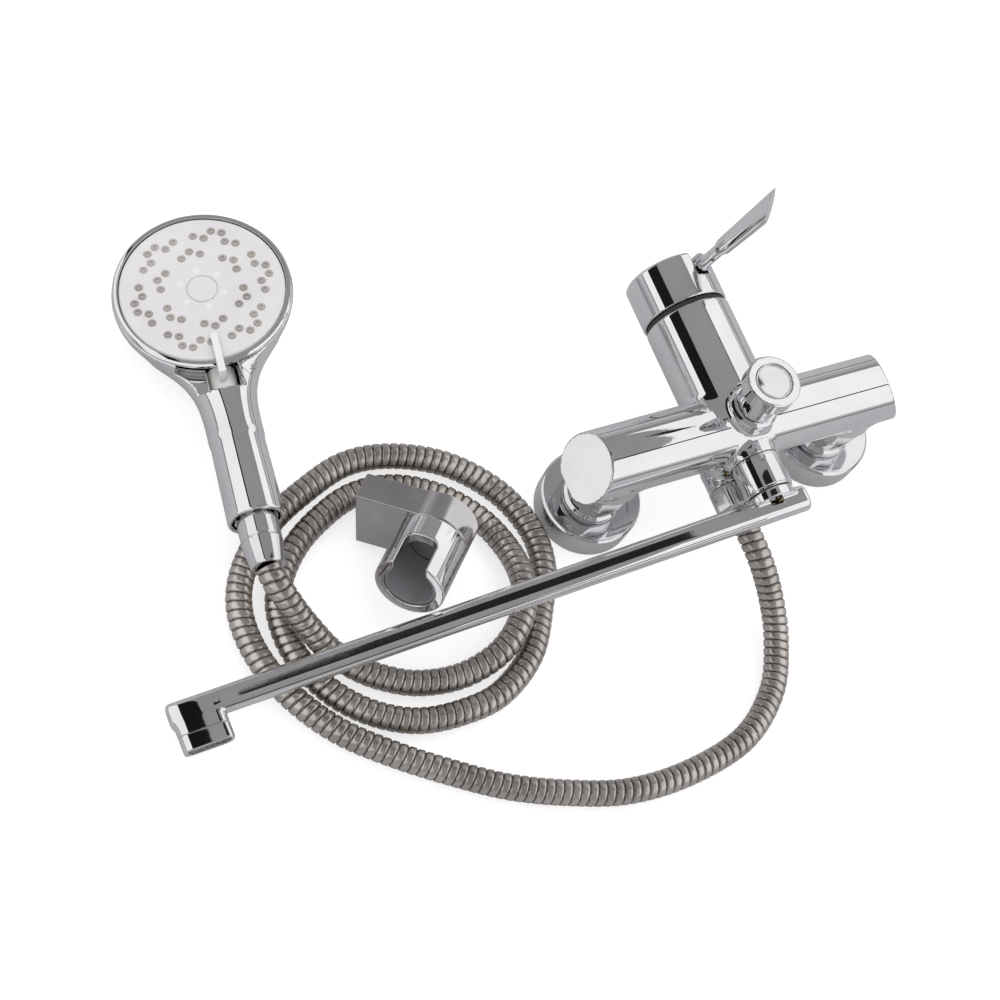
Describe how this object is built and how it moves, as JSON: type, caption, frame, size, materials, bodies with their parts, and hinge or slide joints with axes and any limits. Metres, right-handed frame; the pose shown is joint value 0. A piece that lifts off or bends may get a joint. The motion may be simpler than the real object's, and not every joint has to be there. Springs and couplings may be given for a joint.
{
  "type": "wall mounted bath faucet",
  "caption": "Wall mounted bath and shower mixer with side lever, long swivel spout, diverter knob, hand shower on a metal hose and a wall holder.",
  "frame": {"origin": "midpoint between the two wall inlets on the wall plane, which is also the bench the kit lies on", "axes": "+Z straight out of the wall, +X along the cross tube from the left inlet to the right inlet, +Y up the wall toward the lever cap"},
  "size_m": [0.4411, 0.3765, 0.1486],
  "materials": {
    "chrome_body": "polished",
    "chrome_flange": "polished",
    "chrome_nut": "polished",
    "chrome_lever": "polished",
    "chrome_collar": "polished",
    "chrome_spout": "polished",
    "chrome_knob": "polished",
    "chrome_handset": "polished",
    "chrome_holder": "polished",
    "brass": "machined",
    "rubber_seal": "matt",
    "steel_mesh": "woven",
    "cartridge_plastic": "matt",
    "ceramic": "lapped",
    "steel_stem": "turned",
    "steel_screw": "plain",
    "trim_ring": "satin",
    "aerator_plastic": "matt",
    "hose_steel": "interlocked strip",
    "face_plastic": "satin",
    "nozzle_rubber": "matt",
    "selector_plastic": "satin",
    "holder_plastic": "satin"
  },
  "bodies": {
    "fixed_body": {"body_casting": "chrome_body", "wall_connectors": "brass", "wall_flanges": "chrome_flange", "union_nuts": "chrome_nut", "inlet_seals": "rubber_seal", "inlet_strainers": "steel_mesh", "cartridge_shell": "cartridge_plastic", "cartridge_seal": "rubber_seal", "ceramic_disc_fixed": "ceramic", "clamp_nut": "brass", "trim_ring": "trim_ring", "spout_collar": "chrome_collar", "diverter_bonnet": "chrome_collar", "outlet_nipple": "brass", "outlet_hose_nut": "chrome_nut", "outlet_washer": "rubber_seal", "shower_hose": "hose_steel", "handset_cone_nut": "chrome_nut", "cone_washer": "rubber_seal", "handset_shell": "chrome_handset", "handset_inner_tube": "cartridge_plastic", "handset_connector": "brass", "handset_back_plate": "cartridge_plastic", "face_rim": "chrome_handset", "face_plate": "face_plastic", "spray_nozzles": "nozzle_rubber", "face_screw": "face_plastic"},
    "temperature_cap": {"lever_cap": "chrome_lever"},
    "lever": {"cartridge_stem": "steel_stem", "lever_rod": "chrome_lever", "lever_set_screw": "steel_screw"},
    "upper_disc": {"ceramic_disc_moving": "ceramic"},
    "spout": {"spout_pipe": "chrome_spout", "spout_spigot": "brass", "spout_orings": "rubber_seal", "aerator_housing": "chrome_spout", "aerator_insert": "aerator_plastic", "aerator_mesh": "steel_mesh"},
    "diverter": {"diverter_spindle": "brass", "diverter_rotor": "ceramic", "diverter_knob": "chrome_knob", "diverter_cap": "chrome_knob"},
    "check_valve": {"check_valve_poppet": "aerator_plastic"},
    "selector": {"spray_selector": "selector_plastic"},
    "holder": {"holder_block": "holder_plastic"},
    "holder_cradle": {"holder_clip": "chrome_holder", "holder_spigot_screw": "steel_screw", "holder_liner": "face_plastic"}
  },
  "joints": [
    {"name": "temperature_turn", "type": "hinge", "parent": "fixed_body", "child": "temperature_cap", "pos_m": [0, 0.08, 0.062], "axis": [0, 1, 0], "range_deg": [-72, 28]},
    {"name": "lever_lift", "type": "hinge", "parent": "temperature_cap", "child": "lever", "pos_m": [0, 0.063, 0.062], "axis": [-0.9272, 0, 0.3746], "range_deg": [0, 20]},
    {"name": "disc_slide", "type": "slide", "parent": "temperature_cap", "child": "upper_disc", "axis": [0.3746, 0, 0.9272], "range_m": [0, 0.0052]},
    {"name": "spout_swivel", "type": "hinge", "parent": "fixed_body", "child": "spout", "pos_m": [0, -0.03, 0.062], "axis": [0, 1, 0], "range_deg": [0, 170]},
    {"name": "diverter_turn", "type": "hinge", "parent": "fixed_body", "child": "diverter", "pos_m": [0, 0, 0.09], "axis": [0, 0, 1], "range_deg": [-90, 0]},
    {"name": "check_valve_lift", "type": "slide", "parent": "fixed_body", "child": "check_valve", "axis": [0, -1, 0], "range_m": [0, 0.0012], "stiffness_N_per_m": 60, "springref_m": -0.001},
    {"name": "spray_select", "type": "hinge", "parent": "fixed_body", "child": "selector", "pos_m": [-0.2446, 0.1632, 0.0362], "axis": [-0.1974, 0.1169, 0.9733], "range_deg": [-22, 0]},
    {"name": "holder_lift", "type": "slide", "parent": "fixed_body", "child": "holder", "axis": [0, 0, 1], "range_m": [0, 0.06]},
    {"name": "cradle_turn", "type": "hinge", "parent": "holder", "child": "holder_cradle", "pos_m": [-0.172, 0.0004, 0.0321], "axis": [-0.722, -0.6666, 0.1855], "range_deg": [-45, 45]}
  ],
  "couplings": [
    {"joint": "disc_slide", "follows": "lever_lift", "m_per_rad": 0.0136}
  ]
}
